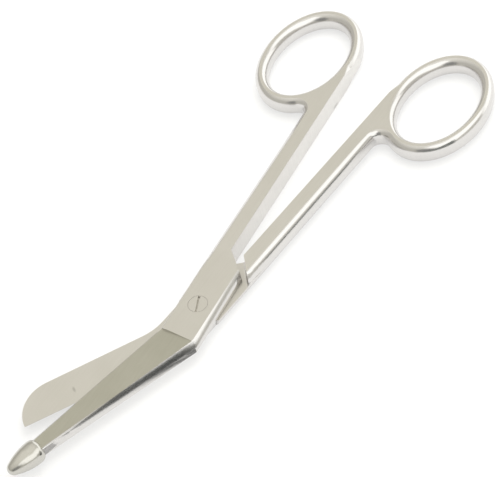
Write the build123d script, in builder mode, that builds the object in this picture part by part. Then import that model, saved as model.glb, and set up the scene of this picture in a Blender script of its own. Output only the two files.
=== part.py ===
"""Bandage scissors with angled blades, a probe-tipped blade over a blunt one, and two finger rings.

Millimetres. The pivot axis is Z through the origin, the instrument lies flat on z = 0, the finger
rings point along +X and the blades bend from -X towards +Y.
"""

import os
from math import atan2, cos, degrees, radians, sin, tan

from build123d import *

# Whole instrument
thickness = 5.0  # shanks, rings and closed joint, lying flat
lap_gap = 0.06  # running gap between the two lapped halves
rest_opening = 9.2  # angle between the two halves as they lie

# Finger ring, one on each half
ring_reach = 73.6  # pivot to ring centre, along the handle
ring_side = 11.6  # closed centreline to ring centre
ring_length = 31.1  # outside, along the handle
ring_width = 22.95  # outside, across the handle
ring_tilt = -4.0
finger_length = 24.6  # hole, along the handle
finger_width = 16.75  # hole, across the handle
ring_round = 2.25  # forged half-round of the outside
finger_round = 2.5  # forged half-round of the finger hole

# Shank, from the joint to the ring
shank_wall = 0.45  # closed centreline to the ground inner wall
shank_joint_side = 5.2  # closed centreline to the half-round outer side, at the joint
shank_waist = 5.05  # the same at the waist
shank_ring_side = 4.95  # the same where the shank runs into the ring
shank_round = 2.7  # forged half-round of the outer side
web_round = 2.2  # inside corner between shank and ring
web_overlap = 1.1  # how far inside the shank the ring's web starts
forging_allowance = 0.3  # taken off each side of the forging when its two flats are ground

# Joint plate and its shoulders
plate_convex_side = 4.8  # pivot to the plate's side on the outside of the bend, on the lap face
plate_crown = 1.03  # how far the half-round wall of that side leans in at the top
plate_concave_side = 4.8  # the same on the inside of the bend
plate_draft = 14.0  # slope of the other side walls of plates and blades
plate_end = 15.3  # pivot to the plate's slanting end, along the closed centreline
plate_run_out = 45.0  # pivot to where the plate's side is lost in the shank
shoulder_clearance = 0.8  # closed plate end to the other half's shoulder, along the handle
shoulder_round = 0.6  # inside corner of the shoulder
bend_reach = 9.2  # pivot to the bend of the plate's outer face

# Probe blade
probe_edge_angle = 17.3  # cutting edge to the handle line
probe_edge_reach = 8.4  # pivot to the bend at the cutting edge
probe_bend_round = 2.0  # inside of the bend
probe_heel = 1.0  # how far the cutting edge stands out from the blade's side, under its bevel
probe_back_reach = 9.9  # pivot to the bend at the back, on the lap face
probe_back_angle = 25.75  # back of the blade to the handle line, on the lap face
probe_crown_root = 1.65  # how far the half-round back leans in at its root
probe_crown_tip = 0.5  # the same at its tip
probe_back_lean = 18.0  # slope of the foot of the back, at its root
probe_reach = 43.9  # pivot to the neck of the probe, along the handle line
probe_rise = 13.7  # handle line to the neck's centre
probe_face_angle = 23.9  # ground face to the handle line
probe_angle = 20.6  # axis of the probe to the handle line
probe_height = 3.2  # table to the axis of the probe
bulb_length = 8.5
bulb_radius = 2.7
bulb_crown = 1.6  # neck to the widest place of the bulb
bulb_nose = 1.5  # radius of the bulb's rounded end
neck_radius = 1.5
neck_seat = 0.6  # how far the blade runs into the bulb
neck_round = 1.0  # corners of the blade's end

# Blunt blade
blunt_convex_side = 4.65  # pivot to the plate's side on the outside of the bend
blunt_reach = 43.2  # pivot to the corner of the cutting edge, along the handle line
blunt_drop = 13.3  # handle line to that corner
blunt_edge_reach = 8.4  # pivot to the bend at the cutting edge
blunt_back_angle = 26.8
blunt_concave_side = 5.3
blunt_end_length = 11.0  # rounded end of the blade, along the handle line
blunt_bend_round = 12.0  # inside of the bend

# Ground faces of the blades
face_tilt = 3.5  # fall of the outer face towards the cutting edge
face_fall = 0.4  # fall of the outer face towards the tip
crease_turn = 18.6  # step at the root of the ground face, from square to the back
edge_round = 0.25  # long edges of the plates and blade backs
bevel_angle = 40.0  # slope of the cutting bevels, from square to the lap face
probe_bevel_start = 0.5  # bend to the root of the probe blade's bevel, along the handle line
blunt_bevel_start = 3.5  # the same on the blunt blade
edge_land = 0.1  # flat left under each cutting bevel

# Pivot screw
screw_head = 4.3
screw_head_depth = 1.2
screw_shank = 2.8
slot_width = 0.55
slot_depth = 0.6
slot_turn = 24.6  # slot to the X axis, as the screw was driven home
pivot_clearance = 0.05  # screw to the half that turns on it
thread_clearance = 0.01  # screw to the half that holds it

half = thickness / 2
lap_height = half + lap_gap / 2
plate_depth = thickness - lap_height
blank_height = thickness + 2 * forging_allowance
bevel_width = plate_depth * tan(radians(bevel_angle))
far = 4 * ring_reach


def half_frame(turn, height, facing):
    """Frame of one half: x along its closed handle, y to its own side, z away from its lap recess."""
    direction = (cos(radians(turn)), sin(radians(turn)), 0)
    return Plane(origin=(0, 0, height), x_dir=direction, z_dir=(0, 0, facing))


def across(frame, reach):
    """Plane across the handle of a half, with its own x to the outer side and its y up."""
    return Plane(origin=frame.from_local_coords((reach, 0, 0)), x_dir=frame.y_dir, z_dir=frame.x_dir)


def along(start, angle, run):
    """Point reached from start at an angle to the handle line, run being measured along that line."""
    return (start[0] - run, start[1] + run * tan(radians(angle)))


def outer_rim(part, frame):
    """Long edges of a plate and blade, around the face that is farthest from its lap face."""
    return part.faces().sort_by(Axis(frame.origin, frame.z_dir))[-1].edges()


def forged_handle(frame):
    """Shank and finger ring of one half, with its ground flats, finger hole and shoulder."""
    ring_place = (ring_reach, ring_side)
    ring_foot = ring_side - ring_width / 2
    root = ring_reach - ring_length / 2
    waist = root / 2
    web_end = ring_reach - finger_length / 4
    sections = (
        (0, -ring_round, shank_joint_side, shank_round),
        (waist, -ring_round, shank_waist, shank_round),
        (root, -ring_round, shank_ring_side, shank_round),
        (ring_reach, ring_foot, shank_ring_side, ring_round),
    )
    # Room between the two ground flats, with the rounded finger hole left out of it
    with BuildPart() as flats:
        with BuildSketch(frame.offset(-forging_allowance)):
            Rectangle(far, far)
            with Locations(ring_place):
                Ellipse(finger_length / 2, finger_width / 2, rotation=ring_tilt, mode=Mode.SUBTRACT)
        extrude(amount=blank_height)
        fillet(flats.edges().filter_by(GeomType.ELLIPSE), finger_round)
        with BuildSketch(frame):
            Rectangle(far, far)
        extrude(amount=thickness, mode=Mode.INTERSECT)

    # Room that the other half's joint plate takes
    with BuildPart() as shoulder:
        with BuildSketch(frame):
            reach = plate_end + shoulder_clearance
            with BuildLine():
                Polyline((reach + far, -far), (reach - far, far), (-far, -far), close=True)
            make_face()
        extrude(amount=lap_height)
        corner = outer_rim(shoulder, frame).sort_by(SortBy.LENGTH)[-1]
        fillet(corner, shoulder_round)

    with BuildPart() as handle:
        with BuildSketch(frame.offset(-forging_allowance)) as blank:
            with Locations(ring_place):
                Ellipse(ring_length / 2, ring_width / 2, rotation=ring_tilt)
            with BuildLine():
                Polyline(
                    (waist, -waist / 2),
                    (waist, shank_waist - web_overlap),
                    (web_end, shank_ring_side),
                    (web_end, shank_waist / 2),
                    close=True,
                )
            make_face()
            corners = blank.vertices().filter_by_position(Axis.X, root, ring_reach)
            fillet(corners, web_round)
        extrude(amount=blank_height)
        ends = handle.faces().filter_by(Axis(frame.origin, frame.z_dir))
        fillet(ends.edges(), ring_round)

        for reach, foot, side, rounding in sections:
            with BuildSketch(across(frame, reach)) as section:
                with Locations((foot, -forging_allowance)):
                    Rectangle(side - foot, blank_height, align=(Align.MIN, Align.MIN))
                fillet(section.vertices().group_by(Axis.X)[0], ring_round)
                fillet(section.vertices().group_by(Axis.X)[-1], rounding)
        loft()

        add(flats.part, mode=Mode.INTERSECT)
        add(shoulder.part, mode=Mode.SUBTRACT)
    return handle.part


def blade_directions(frame, angle):
    """Directions along a blade towards its tip and square to it towards its cutting side."""
    along_blade = frame.x_dir * -cos(radians(angle)) + frame.y_dir * sin(radians(angle))
    to_edge = frame.x_dir * sin(radians(angle)) + frame.y_dir * cos(radians(angle))
    return along_blade, to_edge


def ground_face(frame, root, angle):
    """Solid ground away from a blade's outer face, from the root of its back at this angle."""
    along_blade, to_edge = blade_directions(frame, angle)
    fall = tan(radians(face_fall))
    face = Plane(
        origin=frame.from_local_coords((*root, thickness)),
        x_dir=along_blade - frame.z_dir * fall,
        z_dir=along_blade * fall + to_edge * tan(radians(face_tilt)) + frame.z_dir,
    )
    skew = far * tan(radians(crease_turn))
    with BuildSketch(face) as stroke:
        with BuildLine():
            Polyline((-skew, far), (skew, -far), (2 * far, -far), (2 * far, far), close=True)
        make_face()
    return extrude(stroke.sketch, amount=thickness, mode=Mode.PRIVATE)


def edge_section(frame, root, angle):
    """Plane across a cutting edge at root, with its x out of the blade and its y up from the lap face."""
    along_blade, to_edge = blade_directions(frame, angle)
    return Plane(origin=frame.from_local_coords((*root, lap_height)), x_dir=to_edge, z_dir=-along_blade)


def convex_wall(frame, root, angle, ends):
    """Solid outside a half-round wall; each end has a distance from the root, a lean and a foot slope."""
    along_blade, to_edge = blade_directions(frame, angle)
    foot = frame.from_local_coords((*root, lap_height))
    with BuildPart() as outside:
        for distance, crown, slope in ends:
            place = Plane(origin=foot + along_blade * distance, x_dir=-to_edge, z_dir=along_blade)
            with BuildSketch(place):
                with BuildLine():
                    rise = (-sin(radians(slope)), cos(radians(slope)))
                    wall = TangentArc((0, 0), (-crown, plate_depth), tangent=rise)
                    Polyline(
                        wall @ 1,
                        (-crown, thickness),
                        (thickness, thickness),
                        (thickness, -half),
                        (0, -half),
                        (0, 0),
                    )
                make_face()
        loft()
    return outside.part


def inner_wall(frame):
    """Solid that is ground away from a half's inner wall and from the end of its joint plate."""
    start = (plate_end + shank_wall, shank_wall)
    with BuildSketch(frame) as wall:
        with BuildLine():
            Polyline(start, (far, shank_wall), (far, -far), (start[0] - far, start[1] - far), close=True)
        make_face()
    return extrude(wall.sketch, amount=thickness, mode=Mode.PRIVATE)


upper = half_frame(rest_opening / 2, 0, 1)
lower = half_frame(-rest_opening / 2, thickness, -1)

probe_handle = forged_handle(upper)
blunt_handle = forged_handle(lower)
probe_root = (-probe_back_reach, -plate_convex_side)
face_root = (-bend_reach, -plate_convex_side)
probe_edge_root = (-probe_edge_reach, plate_concave_side)
blunt_root = (-bend_reach, -blunt_concave_side)
blunt_edge_root = (-blunt_edge_reach, blunt_convex_side)
blunt_tip = (-blunt_reach, -blunt_drop)
blunt_edge_angle = degrees(atan2(blunt_convex_side + blunt_drop, blunt_reach - blunt_edge_reach))

# Half with the probe blade, lapped over the other one
neck = (-probe_reach, probe_rise)
blank_side = plate_convex_side + 2 * forging_allowance
blank_root = (-probe_back_reach, -blank_side)
blade_end = probe_reach + neck_seat + plate_depth * tan(radians(plate_draft))
back_end = along(blank_root, probe_back_angle, blade_end - probe_back_reach)
edge_end = along(probe_edge_root, probe_edge_angle, blade_end - probe_edge_reach)
plate_ends = ((-plate_run_out, plate_crown, 0), (probe_back_reach, plate_crown, 0))
back_ends = ((-probe_back_reach, probe_crown_root, probe_back_lean), (blade_end, probe_crown_tip, 0))
plate_wall = convex_wall(upper, probe_root, 0, plate_ends)
back_wall = convex_wall(upper, probe_root, probe_back_angle, back_ends)
with BuildPart() as probe_half:
    with BuildSketch(upper.offset(lap_height)) as probe_outline:
        with BuildLine():
            Polyline(
                (plate_run_out, shank_joint_side / 2),
                (bend_reach, plate_concave_side),
                probe_edge_root,
                edge_end,
                back_end,
                blank_root,
                (plate_run_out, -blank_side),
                close=True,
            )
        make_face()
        fillet(probe_outline.vertices().sort_by_distance(probe_edge_root)[0], probe_bend_round)
        fillet(probe_outline.vertices().sort_by(Axis.X)[:2], neck_round)
    extrude(amount=plate_depth, taper=plate_draft)
    fillet(outer_rim(probe_half, upper), edge_round)
    add(plate_wall, mode=Mode.SUBTRACT)
    add(back_wall, mode=Mode.SUBTRACT)
    bevel_root = along(probe_edge_root, probe_edge_angle, probe_bevel_start)
    with BuildSketch(edge_section(upper, bevel_root, probe_edge_angle)):
        with BuildLine():
            Polyline(
                (-probe_heel, 0),
                (probe_heel, 0),
                (probe_heel, edge_land),
                (probe_heel - bevel_width, edge_land + plate_depth),
                close=True,
            )
        make_face()
    extrude(amount=-(probe_reach + bevel_root[0]) / cos(radians(probe_edge_angle)))
    add(ground_face(upper, face_root, probe_face_angle), mode=Mode.SUBTRACT)

    axis_x = upper.x_dir * -cos(radians(probe_angle)) + upper.y_dir * sin(radians(probe_angle))
    axis_side = upper.x_dir * sin(radians(probe_angle)) + upper.y_dir * cos(radians(probe_angle))
    bulb_plane = Plane(origin=upper.from_local_coords((*neck, probe_height)), x_dir=axis_x, z_dir=axis_side)
    crown = (bulb_crown, bulb_radius)
    crown_to_nose = bulb_length - bulb_nose - bulb_crown
    side_radius = (crown_to_nose**2 + bulb_radius**2 - bulb_nose**2) / (2 * (bulb_radius - bulb_nose))
    nose_turn = degrees(atan2(side_radius - bulb_radius, crown_to_nose))
    with BuildSketch(bulb_plane):
        with BuildLine():
            Polyline((bulb_length, 0), (0, 0), (0, neck_radius))
            TangentArc(crown, (0, neck_radius), tangent=(-1, 0))
            nose = CenterArc((bulb_length - bulb_nose, 0), bulb_nose, 0, nose_turn)
            TangentArc(crown, nose @ 1, tangent=(1, 0))
        make_face()
    revolve(axis=Axis(bulb_plane.origin, bulb_plane.x_dir))
    add(probe_handle)
    add(inner_wall(upper), mode=Mode.SUBTRACT)
    with Locations((0, 0, thickness)):
        CounterBoreHole(
            radius=screw_shank / 2 + pivot_clearance,
            counter_bore_radius=screw_head / 2 + pivot_clearance,
            counter_bore_depth=screw_head_depth + pivot_clearance,
        )

# Half with the blunt blade, which lies underneath
with BuildPart() as blunt_half:
    with BuildSketch(lower.offset(lap_height)) as blunt_outline:
        back_run = blunt_reach - blunt_end_length - bend_reach
        end_root = along(blunt_root, -blunt_back_angle, back_run)
        with BuildLine():
            sides = Polyline(
                blunt_tip,
                blunt_edge_root,
                (bend_reach, blunt_convex_side),
                (plate_run_out, shank_joint_side / 2),
                (plate_run_out, -blunt_concave_side),
                blunt_root,
                end_root,
            )
            TangentArc(end_root, blunt_tip, tangent=sides % 1)
        make_face()
        fillet(blunt_outline.vertices().sort_by_distance(blunt_root)[0], blunt_bend_round)
    extrude(amount=plate_depth, taper=plate_draft)
    fillet(outer_rim(blunt_half, lower), edge_round)
    add(ground_face(lower, blunt_root, -blunt_back_angle), mode=Mode.SUBTRACT)
    bevel_root = along(blunt_edge_root, -blunt_edge_angle, blunt_bevel_start)
    with BuildSketch(edge_section(lower, bevel_root, -blunt_edge_angle)):
        with BuildLine():
            Polyline(
                (0, edge_land),
                (-bevel_width, edge_land + plate_depth),
                (plate_depth, edge_land + plate_depth),
                (plate_depth, edge_land),
                close=True,
            )
        make_face()
    extrude(amount=-far, mode=Mode.SUBTRACT)
    add(blunt_handle)
    add(inner_wall(lower), mode=Mode.SUBTRACT)
    with Locations((0, 0, half)):
        Hole(radius=screw_shank / 2 + thread_clearance)

# Slotted screw, flush with the upper plate at its head and with the lower one at its end
with BuildPart() as pivot_screw:
    with BuildSketch(Plane.XY):
        Circle(screw_shank / 2)
    extrude(amount=thickness - screw_head_depth)
    with BuildSketch(Plane.XY.offset(thickness - screw_head_depth)):
        Circle(screw_head / 2)
    extrude(amount=screw_head_depth)
    with BuildSketch(Plane.XY.offset(thickness)):
        Rectangle(screw_head * 2, slot_width, rotation=slot_turn)
    extrude(amount=-slot_depth, mode=Mode.SUBTRACT)

os.makedirs("parts", exist_ok=True)
for piece, name in ((probe_half, "probe_half"), (blunt_half, "blunt_half"), (pivot_screw, "pivot_screw")):
    piece.part.label = name
    export_step(piece.part, f"parts/{name}.step")
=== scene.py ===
"""Bandage scissors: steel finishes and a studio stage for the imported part, laid out as an add-on.

Metres, in the part's own frame. The two forged halves and the pivot screw keep the form they have there.
"""

from math import copysign, cos, radians, sin, sqrt

import bpy
from mathutils import Matrix, Vector


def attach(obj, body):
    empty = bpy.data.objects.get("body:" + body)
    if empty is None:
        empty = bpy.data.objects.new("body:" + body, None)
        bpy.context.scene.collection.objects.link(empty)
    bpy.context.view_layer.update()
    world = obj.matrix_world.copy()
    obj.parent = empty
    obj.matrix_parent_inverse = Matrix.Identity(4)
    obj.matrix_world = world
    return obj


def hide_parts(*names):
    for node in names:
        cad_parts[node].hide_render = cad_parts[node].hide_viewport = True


bl_info = {
    "name": "Bandage Scissors",
    "version": (1, 0, 0),
    "blender": (4, 5, 0),
    "location": "View3D > Sidebar > Scissors",
    "description": "Steel finishes and a studio stage for a pair of bandage scissors",
    "category": "Object",
}

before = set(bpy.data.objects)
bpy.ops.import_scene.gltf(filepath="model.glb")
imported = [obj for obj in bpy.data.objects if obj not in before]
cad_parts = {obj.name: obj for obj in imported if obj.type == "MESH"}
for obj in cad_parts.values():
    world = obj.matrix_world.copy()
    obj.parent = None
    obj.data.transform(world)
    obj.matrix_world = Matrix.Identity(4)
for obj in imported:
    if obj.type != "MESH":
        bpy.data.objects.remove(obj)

MM = 0.001


# Settings


class ScissorsFinish(bpy.types.PropertyGroup):
    """How the steel is finished."""

    merge_distance: bpy.props.FloatProperty(
        name="Merge distance",
        description="Corners of the mesh that lie closer than this become one",
        default=0.002 * MM,
        precision=7,
        unit="LENGTH",
    )
    flatness: bpy.props.FloatProperty(
        name="Flatness",
        description="Triangles that differ in tilt by less than this are one flat face",
        default=radians(0.05),
        subtype="ANGLE",
    )
    crease_angle: bpy.props.FloatProperty(
        name="Crease angle",
        description="Edges that bend more than this stay sharp",
        default=radians(25),
        subtype="ANGLE",
    )
    satin_roughness: bpy.props.FloatProperty(
        name="Satin roughness",
        description="Roughness of the ground flats",
        default=0.36,
        subtype="FACTOR",
    )
    polish_roughness: bpy.props.FloatProperty(
        name="Polish roughness",
        description="Roughness of the polished sides and roundings",
        default=0.2,
        subtype="FACTOR",
    )
    grain_depth: bpy.props.FloatProperty(
        name="Grain depth",
        description="Depth of the grinding marks",
        default=0.004 * MM,
        precision=7,
        unit="LENGTH",
    )
    edge_break: bpy.props.FloatProperty(
        name="Edge break",
        description="Width of the broken edges along the inner walls",
        default=0.12 * MM,
        precision=5,
        unit="LENGTH",
    )
    probe_neck: bpy.props.FloatVectorProperty(
        name="Probe neck",
        description="Where the buffed probe begins",
        default=(-44.9 * MM, 10.1 * MM, 3.2 * MM),
        subtype="TRANSLATION",
    )
    probe_angle: bpy.props.FloatProperty(
        name="Probe angle",
        description="Axis of the probe to the X axis",
        default=radians(16),
        subtype="ANGLE",
    )


class ScissorsHandle(bpy.types.PropertyGroup):
    """Sizes of the half-round handles, which their shading follows."""

    thickness: bpy.props.FloatProperty(
        name="Thickness",
        description="Shanks and rings, between their flats",
        default=5 * MM,
        unit="LENGTH",
    )
    forging_allowance: bpy.props.FloatProperty(
        name="Forging allowance",
        description="Ground off the forging at each flat",
        default=0.3 * MM,
        precision=5,
        unit="LENGTH",
    )
    shank_round: bpy.props.FloatProperty(
        name="Shank round",
        description="Radius of the outer side of a shank",
        default=2.7 * MM,
        precision=5,
        unit="LENGTH",
    )
    ring_round: bpy.props.FloatProperty(
        name="Ring round",
        description="Radius of the outer side of a ring",
        default=2.25 * MM,
        precision=5,
        unit="LENGTH",
    )
    finger_round: bpy.props.FloatProperty(
        name="Finger round",
        description="Radius of the side of a finger hole",
        default=2.5 * MM,
        precision=5,
        unit="LENGTH",
    )
    start: bpy.props.FloatProperty(
        name="Start",
        description="Where the shanks leave the joint, along X",
        default=18 * MM,
        unit="LENGTH",
    )
    blend_start: bpy.props.FloatProperty(
        name="Blend start",
        description="Where the radius of a shank begins to change to that of its ring, along X",
        default=45 * MM,
        unit="LENGTH",
    )
    blend_end: bpy.props.FloatProperty(
        name="Blend end",
        description="Where the radius of the ring is reached, along X",
        default=57 * MM,
        unit="LENGTH",
    )
    ring_place: bpy.props.FloatVectorProperty(
        name="Ring place",
        description="Centre of the ring of the probe half; the other ring mirrors it",
        default=(72.4 * MM, 17.5 * MM),
        size=2,
        subtype="COORDINATES",
    )
    finger_reach: bpy.props.FloatProperty(
        name="Finger reach",
        description="From the centre of a ring to past the far end of its hole",
        default=13.5 * MM,
        unit="LENGTH",
    )


class ScissorsStage(bpy.types.PropertyGroup):
    """Where the camera stands and how the studio is set up."""

    azimuth: bpy.props.FloatProperty(
        name="Azimuth", description="Camera round the object", default=radians(-45.16), subtype="ANGLE"
    )
    elevation: bpy.props.FloatProperty(
        name="Elevation", description="Camera above the floor", default=radians(49.79), subtype="ANGLE"
    )
    roll: bpy.props.FloatProperty(
        name="Roll", description="Camera about its own line of sight", default=radians(-15), subtype="ANGLE"
    )
    distance: bpy.props.FloatProperty(
        name="Distance", description="Camera to the point that it looks at", default=483.7 * MM, unit="LENGTH"
    )
    target: bpy.props.FloatVectorProperty(
        name="Target",
        description="Point that the camera looks at",
        default=(23.04 * MM, 2.55 * MM, 0.0),
        subtype="TRANSLATION",
    )
    lens: bpy.props.FloatProperty(
        name="Lens", description="Focal length on a sensor 36 mm wide", default=157.3, unit="CAMERA"
    )
    floor_size: bpy.props.FloatProperty(
        name="Floor size", description="Side of the square sheet of paper", default=6.0, unit="LENGTH"
    )
    floor_gap: bpy.props.FloatProperty(
        name="Floor gap",
        description="Paper below the rest face, so that the two never share a plane",
        default=0.02 * MM,
        precision=6,
        unit="LENGTH",
    )
    overhead_place: bpy.props.FloatVectorProperty(
        name="Overhead place",
        description="Centre of the soft light from above",
        default=(250 * MM, 50 * MM, 400 * MM),
        subtype="TRANSLATION",
    )
    overhead_size: bpy.props.FloatProperty(
        name="Overhead size", description="Width of the soft light", default=400 * MM, unit="LENGTH"
    )
    overhead_power: bpy.props.FloatProperty(
        name="Overhead light", description="Power of the soft light", default=1.2, unit="POWER"
    )


# Materials


def linear(code):
    """Linear colour of an sRGB hex code."""
    parts = [int(code[i : i + 2], 16) / 255 for i in (1, 3, 5)]
    return [c / 12.92 if c <= 0.04045 else ((c + 0.055) / 1.055) ** 2.4 for c in parts] + [1.0]


def add(tree, kind, links=None, **values):
    """Add a shader node: values set its properties or, by their spoken names, its inputs."""
    node = tree.nodes.new(kind)
    for name, value in values.items():
        if hasattr(node, name):
            setattr(node, name, value)
        else:
            node.inputs[name.replace("_", " ")].default_value = value
    for name, source in (links or {}).items():
        tree.links.new(source, node.inputs[name])
    return node


# Dark spots: centre in millimetres, turn about Z in degrees, half of length, width and height in millimetres
# A smudge on the lap of the blunt blade
BLADE_STAIN = ((-29.36, 12.86, 2.47), 57, (1.1, 0.45, 0.3))
# Painted shade: a dark oval at the foot of an inner wall near a ring, where the wall meets the paper
WALL_FOOT_PAINTED_SHADE = ((64.5, 5.63, 0.6), 5, (1.6, 0.4, 0.6))
# Colour and strength shared by the smudge and the painted shade
SMUDGE_AND_PAINTED_SHADE_COLOUR = "#5A5850"
SMUDGE_AND_PAINTED_SHADE_STRENGTH = 0.28


def darken_smudge_and_painted_shade(tree, place, colour, centre, turn, size):
    """Darken a colour in one small oval place, strongest in its middle."""
    local = add(
        tree,
        "ShaderNodeMapping",
        {"Vector": place},
        vector_type="TEXTURE",
        Location=[c * MM for c in centre],
        Rotation=(0, 0, radians(turn)),
        Scale=[c * MM for c in size],
    )
    away = add(tree, "ShaderNodeVectorMath", {0: local.outputs["Vector"]}, operation="LENGTH")
    share = add(
        tree,
        "ShaderNodeMapRange",
        {"Value": away.outputs["Value"]},
        interpolation_type="SMOOTHSTEP",
        From_Min=1.0,
        From_Max=0.2,
        To_Max=SMUDGE_AND_PAINTED_SHADE_STRENGTH,
    )
    links = {"Factor": share.outputs["Result"], "A": colour}
    return add(tree, "ShaderNodeMix", links, data_type="RGBA", B=linear(SMUDGE_AND_PAINTED_SHADE_COLOUR)).outputs["Result"]


CLOUD_SIZE = 9 * MM


def steel(name, light, dark, roughness, grain, depth, smudge_and_painted_shade=None):
    """Metal of two close tints with grinding marks; grain is the size of a mark along each axis."""
    material = bpy.data.materials.new(name)
    material.use_nodes = True
    tree = material.node_tree
    shader = tree.nodes["Principled BSDF"]
    place = add(tree, "ShaderNodeTexCoord").outputs["Object"]
    stretched = add(tree, "ShaderNodeMapping", {"Vector": place}, Scale=[1 / size for size in grain])
    marks = add(tree, "ShaderNodeTexNoise", {"Vector": stretched.outputs["Vector"]}, Scale=1.0, Detail=4.0)
    clouds = add(tree, "ShaderNodeTexNoise", {"Vector": place}, Scale=1 / CLOUD_SIZE, Detail=2.0)
    both = add(tree, "ShaderNodeMix", {"A": marks.outputs["Fac"], "B": clouds.outputs["Fac"]}, Factor=0.5)
    tint = add(tree, "ShaderNodeValToRGB", {"Fac": both.outputs["Result"]})
    tint.color_ramp.elements[0].position, tint.color_ramp.elements[0].color = 0.35, linear(dark)
    tint.color_ramp.elements[1].position, tint.color_ramp.elements[1].color = 0.65, linear(light)
    spread = add(
        tree,
        "ShaderNodeMapRange",
        {"Value": both.outputs["Result"]},
        From_Min=0.3,
        From_Max=0.7,
        To_Min=roughness * 0.9,
        To_Max=roughness * 1.1,
    )
    bump = add(tree, "ShaderNodeBump", {"Height": marks.outputs["Fac"]}, Strength=1.0, Distance=depth)
    colour = tint.outputs["Color"]
    # Darken one spot: the smudge on the flats, painted shade at the foot of the inner wall
    if smudge_and_painted_shade:
        colour = darken_smudge_and_painted_shade(tree, place, colour, *smudge_and_painted_shade)
    shader.inputs["Metallic"].default_value = 1.0
    tree.links.new(colour, shader.inputs["Base Color"])
    tree.links.new(spread.outputs["Result"], shader.inputs["Roughness"])
    tree.links.new(bump.outputs["Normal"], shader.inputs["Normal"])
    return material


FLAT, POLISHED, BLADE_FACE, WALL, PROBE, SCREW = range(6)


def finishes(settings):
    """The finishes of the halves and the screw, made once, in the order of the names above."""
    names = (
        "satin_ground_steel",
        "polished_steel",
        "ground_blade_steel",
        "ground_wall_steel",
        "buffed_probe_steel",
        "satin_screw_steel",
    )
    if names[0] in bpy.data.materials:
        return [bpy.data.materials[name] for name in names]
    depth = settings.grain_depth
    satin, polish = settings.satin_roughness, settings.polish_roughness
    along = (6 * MM, 0.12 * MM, 0.12 * MM)
    upright = (0.15 * MM, 0.15 * MM, 5 * MM)
    return [
        # Satin flats: an even, warm light grey without clear reflections
        steel(names[FLAT], "#DEDBD5", "#D8D5CE", satin, along, depth, BLADE_STAIN),
        # Polished sides: cool and mirror-like, so they show the studio as white and dark bands
        steel(names[POLISHED], "#DEDCDA", "#D8D6D4", polish, upright, depth / 4),
        # Ground outer blade face: a shade darker and more olive, with marks along the blade
        steel(names[BLADE_FACE], "#C6C4B8", "#BCBAAD", satin, along, depth),
        # Ground inner wall of a shank: pale, with fine upright marks left by the wheel, and painted shade at
        # its foot near a ring
        steel(names[WALL], "#EAE8E5", "#E0DEDB", satin, upright, depth / 2, WALL_FOOT_PAINTED_SHADE),
        # Buffed probe: a shade greyer than the polished sides
        steel(names[PROBE], "#D2D0CA", "#C8C6C0", polish, along, depth / 4),
        # Screw: the satin grey of the plate around it
        steel(names[SCREW], "#DEDBD5", "#D8D5CE", satin, along, depth),
    ]


# Pieces


def merged_copy(node, name, settings):
    """A copy of one node's mesh as a piece of its own, with its loose triangles joined."""
    bpy.ops.object.select_all(action="DESELECT")
    piece = bpy.data.objects.new(name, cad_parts[node].data.copy())
    bpy.context.scene.collection.objects.link(piece)
    piece.select_set(True)
    bpy.context.view_layer.objects.active = piece
    piece.data.materials.clear()
    bpy.ops.object.mode_set(mode="EDIT")
    bpy.ops.mesh.select_all(action="SELECT")
    bpy.ops.mesh.remove_doubles(threshold=settings.merge_distance)
    bpy.ops.mesh.dissolve_limited(angle_limit=settings.flatness, delimit=set())
    bpy.ops.object.mode_set(mode="OBJECT")
    return piece


def largest(faces):
    """Normal of the largest of some faces."""
    return max(faces, key=lambda face: face.area).normal


# The upright share of a normal: at least this on a flat, between these on the slightly tilted blade face,
# and less than this on an upright wall
LEVEL = 0.99995
TILTED = (0.99, 0.9995)
UPRIGHT = 0.001

# The product of two normals from which they count as the same
SAME = 0.99999


def assign_finishes(piece, settings):
    """Satin on the flats, finishes of their own on blade face, inner wall and probe, polish on the rest."""
    faces = piece.data.polygons
    blade_face = largest([face for face in faces if TILTED[0] < abs(face.normal.z) < TILTED[1]])
    wall = largest([face for face in faces if abs(face.normal.z) < UPRIGHT])
    neck = Vector(settings.probe_neck)
    probe = Vector((-cos(settings.probe_angle), sin(settings.probe_angle), 0))
    for face in faces:
        if (face.center - neck).dot(probe) > 0:
            face.material_index = PROBE
        elif abs(face.normal.z) > LEVEL:
            face.material_index = FLAT
        elif face.normal.dot(blade_face) > SAME:
            face.material_index = BLADE_FACE
        elif face.normal.dot(wall) > SAME:
            face.material_index = WALL
        else:
            face.material_index = POLISHED


def break_wall_edges(piece, settings):
    """Take the sharpness off the long edges between a shank's flats and its inner wall."""
    mesh = piece.data
    finish = {}
    for face in mesh.polygons:
        for key in face.edge_keys:
            finish.setdefault(key, set()).add(face.material_index)
    weight = mesh.attributes.new("bevel_weight_edge", "FLOAT", "EDGE")
    for edge in mesh.edges:
        weight.data[edge.index].value = float(finish[edge.key] == {FLAT, WALL})
    broken = piece.modifiers.new("broken_edges", "BEVEL")
    broken.limit_method = "WEIGHT"
    broken.width = settings.edge_break
    broken.segments = 1
    broken.material = WALL
    bpy.ops.object.modifier_apply(modifier=broken.name)


def half_round_normal(place, side, ring, handle):
    """Normal at one place of a handle's rounded side, which faces a given way as seen from above."""
    to_ring = ring - place.xy
    if side.dot(to_ring) > 0 and to_ring.length < handle.finger_reach:
        radius = handle.finger_round
    else:
        along = (place.x - handle.blend_start) / (handle.blend_end - handle.blend_start)
        share = min(max(along, 0), 1)
        radius = handle.shank_round + share * (handle.ring_round - handle.shank_round)
    middle = handle.thickness / 2
    straight = middle + handle.forging_allowance - radius
    rise = place.z - middle
    steep = min(max(abs(rise) - straight, 0) / radius, 1)
    level = sqrt(1 - steep**2)
    return side.x * level, side.y * level, copysign(steep, rise)


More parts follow.
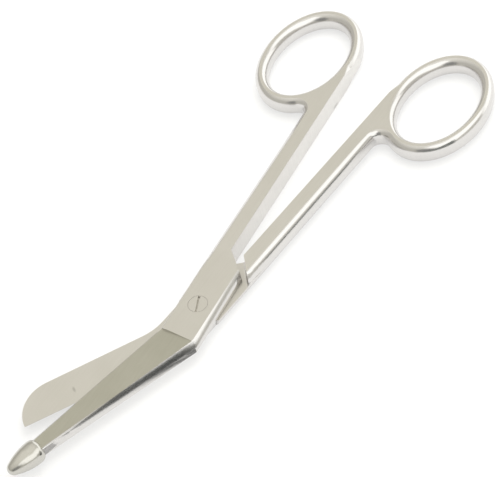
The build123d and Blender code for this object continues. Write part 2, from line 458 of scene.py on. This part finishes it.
def shade(piece, settings, ring, handle):
    """Smooth shading in which ground faces stay flat and the half-round sides turn evenly with height."""
    bpy.ops.object.shade_smooth_by_angle(angle=settings.crease_angle)
    mesh = piece.data
    as_smoothed = (0, 0, 0)
    normals = []
    for face in mesh.polygons:
        for index in face.loop_indices:
            place = mesh.vertices[mesh.loops[index].vertex_index].co
            if face.material_index in (FLAT, BLADE_FACE, WALL):
                normals.append(face.normal)
            elif face.material_index == POLISHED and place.x > handle.start:
                side = mesh.corner_normals[index].vector.xy.normalized()
                normals.append(half_round_normal(place, side, ring, handle))
            else:
                normals.append(as_smoothed)
    mesh.normals_split_custom_set(normals)


class SCISSORS_OT_halves(bpy.types.Operator):
    """Finish the two forged halves"""

    bl_idname = "scissors.halves"
    bl_label = "Forged Halves"
    bl_options = {"REGISTER", "UNDO"}

    def execute(self, context):
        settings, handle = context.scene.scissors_finish, context.scene.scissors_handle
        ring_x, ring_y = handle.ring_place
        for node, body, ring in (
            ("probe_half", "probe_body", Vector((ring_x, ring_y))),
            ("blunt_half", "blunt_body", Vector((ring_x, -ring_y))),
        ):
            piece = merged_copy(node, node + "_steel", settings)
            for material in finishes(settings)[:SCREW]:
                piece.data.materials.append(material)
            assign_finishes(piece, settings)
            break_wall_edges(piece, settings)
            shade(piece, settings, ring, handle)
            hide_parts(node)
            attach(piece, body)
        return {"FINISHED"}


class SCISSORS_OT_screw(bpy.types.Operator):
    """Finish the pivot screw"""

    bl_idname = "scissors.screw"
    bl_label = "Pivot Screw"
    bl_options = {"REGISTER", "UNDO"}

    def execute(self, context):
        settings = context.scene.scissors_finish
        piece = merged_copy("pivot_screw", "pivot_screw_steel", settings)
        piece.data.materials.append(finishes(settings)[SCREW])
        bpy.ops.object.shade_smooth_by_angle(angle=settings.crease_angle)
        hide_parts("pivot_screw")
        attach(piece, "blunt_body")
        return {"FINISHED"}


# Stage

# The room round the object: warm grey low down, nearly white overhead, by the upright share of a direction
ROOM_LOW, ROOM_LOW_COLOUR = 0.45, (0.62, 0.605, 0.55, 1)
ROOM_HIGH, ROOM_HIGH_COLOUR = 0.95, (1.0, 0.98, 0.9, 1)

# Round patches in it, as azimuth, elevation, radius and soft rim in degrees
DARK_PLACE = (-152, 19, 10, 14)
DARK_LEVEL = 0.28
SOFTBOXES = (
    (-128, 46, 9, 8),
    (-107, 33, 17, 8),
    (-80, 40, 14, 8),
    (-56, 38, 11, 8),
    (-25, 5, 22, 10),
    (8, 4, 20, 14),
)
SOFTBOX_LEVEL = 1.5

# Colour and corners, in millimetres, of the cards that the steel mirrors: the black ones give the back of the
# probe blade its dark band, and the grey one beside the right shank gives that shank a thin grey line
CARDS = {
    "lying_black_card": (
        "#3C4042",
        ((-13, -36, 0.05), (-45.5, -36, 0.05), (-13, -31.5, 0.05), (-42.5, -6.3, 0.05)),
    ),
    "standing_black_card": (
        "#3C4042",
        ((-13, -36, 0.05), (-45.5, -36, 0.05), (-13, -36, 22), (-45.5, -36, 3)),
    ),
    "standing_grey_card": (
        "#7E8282",
        ((28, -36, 3), (63, -36, 3), (28, -36, 10), (63, -36, 10)),
    ),
}

# Share of the paper's white that the eye and the steel see as if it were evenly lit
PAPER_GLOW = 0.6


def patch(tree, place, under, azimuth, elevation, wide, soft, level):
    """Lay a round patch with a soft rim over the surroundings, in one direction and of one brightness."""
    turn, rise = radians(azimuth), radians(elevation)
    toward = add(tree, "ShaderNodeVectorMath", {0: place}, operation="DOT_PRODUCT")
    toward.inputs[1].default_value = (cos(turn) * cos(rise), sin(turn) * cos(rise), sin(rise))
    share = add(
        tree,
        "ShaderNodeMapRange",
        {"Value": toward.outputs["Value"]},
        interpolation_type="SMOOTHSTEP",
        From_Min=cos(radians(wide + soft)),
        From_Max=cos(radians(wide)),
    )
    links = {"Factor": share.outputs["Result"], "A": under}
    warm = (level, level, level * 0.97, 1)
    return add(tree, "ShaderNodeMix", links, data_type="RGBA", B=warm).outputs["Result"]


def studio_world():
    """Surroundings that the polished steel mirrors: a warm grey room, white softboxes and one dark place."""
    world = bpy.data.worlds.new("studio")
    world.use_nodes = True
    tree = world.node_tree
    place = add(tree, "ShaderNodeTexCoord").outputs["Generated"]
    split = add(tree, "ShaderNodeSeparateXYZ", {"Vector": place})
    room = add(tree, "ShaderNodeValToRGB", {"Fac": split.outputs["Z"]})
    low, high = room.color_ramp.elements
    low.position, low.color = ROOM_LOW, ROOM_LOW_COLOUR
    high.position, high.color = ROOM_HIGH, ROOM_HIGH_COLOUR
    light = patch(tree, place, room.outputs["Color"], *DARK_PLACE, DARK_LEVEL)
    for softbox in SOFTBOXES:
        light = patch(tree, place, light, *softbox, SOFTBOX_LEVEL)
    tree.links.new(light, tree.nodes["Background"].inputs["Color"])
    bpy.context.scene.world = world


def white_paper():
    """Paper that is white to the eye and in reflections, and still takes part of the object's shadow."""
    paper = bpy.data.materials.new("white_paper")
    paper.use_nodes = True
    tree = paper.node_tree
    shader = tree.nodes["Principled BSDF"]
    shader.inputs["Base Color"].default_value = linear("#FAFAFA")
    shader.inputs["Roughness"].default_value = 0.9
    shader.inputs["Specular IOR Level"].default_value = 0.0
    rays = add(tree, "ShaderNodeLightPath")
    seen = add(
        tree,
        "ShaderNodeMath",
        {0: rays.outputs["Is Camera Ray"], 1: rays.outputs["Is Glossy Ray"]},
        operation="MAXIMUM",
    )
    share = add(tree, "ShaderNodeMath", {0: seen.outputs["Value"]}, operation="MULTIPLY")
    share.inputs[1].default_value = PAPER_GLOW
    white = add(tree, "ShaderNodeEmission", Strength=1.0)
    links = {0: share.outputs["Value"], 1: shader.outputs["BSDF"], 2: white.outputs["Emission"]}
    mixed = add(tree, "ShaderNodeMixShader", links)
    tree.links.new(mixed.outputs["Shader"], tree.nodes["Material Output"].inputs["Surface"])
    return paper


def add_floor(settings):
    """A plain sheet of white paper under the object."""
    bpy.ops.mesh.primitive_plane_add(size=settings.floor_size, location=(0, 0, -settings.floor_gap))
    floor = bpy.context.active_object
    floor.name = "floor"
    floor.data.materials.append(white_paper())


def add_card(name, colour, corners):
    """A velvet card that shows only in the reflections of the steel."""
    bpy.ops.mesh.primitive_plane_add(size=1.0)
    card = bpy.context.active_object
    card.name = name
    for corner, place in zip(card.data.vertices, corners):
        corner.co = Vector(place) * MM
    card.visible_camera = card.visible_diffuse = card.visible_shadow = False
    velvet = bpy.data.materials.new(name + "_velvet")
    velvet.use_nodes = True
    velvet.node_tree.nodes["Principled BSDF"].inputs["Base Color"].default_value = linear(colour)
    card.data.materials.append(velvet)


def add_overhead_light(settings):
    """A soft light from above and behind the rings, which casts the object's shadow."""
    bpy.ops.object.light_add(type="AREA", location=settings.overhead_place)
    overhead = bpy.context.active_object
    overhead.name = "overhead_light"
    overhead.data.shape = "DISK"
    overhead.data.size = settings.overhead_size
    overhead.data.energy = settings.overhead_power
    overhead.visible_glossy = False


def add_camera(settings):
    """The camera at the photograph's angle."""
    turn, rise, roll = settings.azimuth, settings.elevation, settings.roll
    back = Vector((sin(turn) * cos(rise), -cos(turn) * cos(rise), sin(rise)))
    right = Vector((cos(turn), sin(turn), 0))
    up = back.cross(right)
    rolled_right = right * cos(roll) + up * sin(roll)
    rolled_up = up * cos(roll) - right * sin(roll)
    place = Matrix.Translation(Vector(settings.target) + back * settings.distance)
    bpy.ops.object.camera_add()
    camera = bpy.context.active_object
    camera.matrix_world = place @ Matrix((rolled_right, rolled_up, back)).transposed().to_4x4()
    camera.data.lens = settings.lens
    camera.data.sensor_width = 36
    camera.data.clip_start = 10 * MM
    camera.data.dof.use_dof = False
    bpy.context.scene.camera = camera


class SCISSORS_OT_stage(bpy.types.Operator):
    """Set up the floor, the cards, the light and the camera"""

    bl_idname = "scissors.stage"
    bl_label = "Studio Stage"
    bl_options = {"REGISTER", "UNDO"}

    def execute(self, context):
        settings = context.scene.scissors_stage
        bpy.ops.object.select_all(action="DESELECT")
        add_floor(settings)
        for name, (colour, corners) in CARDS.items():
            add_card(name, colour, corners)
        studio_world()
        add_overhead_light(settings)
        add_camera(settings)
        context.scene.view_settings.view_transform = "Standard"
        return {"FINISHED"}


# Panel


class SCISSORS_PT_panel(bpy.types.Panel):
    """Buttons for the pieces and the stage, with their settings"""

    bl_idname = "SCISSORS_PT_panel"
    bl_label = "Bandage Scissors"
    bl_space_type = "VIEW_3D"
    bl_region_type = "UI"
    bl_category = "Scissors"

    def draw(self, context):
        scene = context.scene
        for group, operators in (
            (scene.scissors_handle, ()),
            (scene.scissors_finish, (SCISSORS_OT_halves, SCISSORS_OT_screw)),
            (scene.scissors_stage, (SCISSORS_OT_stage,)),
        ):
            for name in group.__annotations__:
                self.layout.prop(group, name)
            for operator in operators:
                self.layout.operator(operator.bl_idname)


CLASSES = (
    ScissorsFinish,
    ScissorsHandle,
    ScissorsStage,
    SCISSORS_OT_halves,
    SCISSORS_OT_screw,
    SCISSORS_OT_stage,
    SCISSORS_PT_panel,
)


def register():
    for cls in CLASSES:
        bpy.utils.register_class(cls)
    bpy.types.Scene.scissors_finish = bpy.props.PointerProperty(type=ScissorsFinish)
    bpy.types.Scene.scissors_handle = bpy.props.PointerProperty(type=ScissorsHandle)
    bpy.types.Scene.scissors_stage = bpy.props.PointerProperty(type=ScissorsStage)


def unregister():
    del bpy.types.Scene.scissors_stage
    del bpy.types.Scene.scissors_handle
    del bpy.types.Scene.scissors_finish
    for cls in reversed(CLASSES):
        bpy.utils.unregister_class(cls)


def main():
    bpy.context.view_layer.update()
    register()
    bpy.ops.scissors.halves()
    bpy.ops.scissors.screw()
    bpy.ops.scissors.stage()


if __name__ == "__main__":
    main()
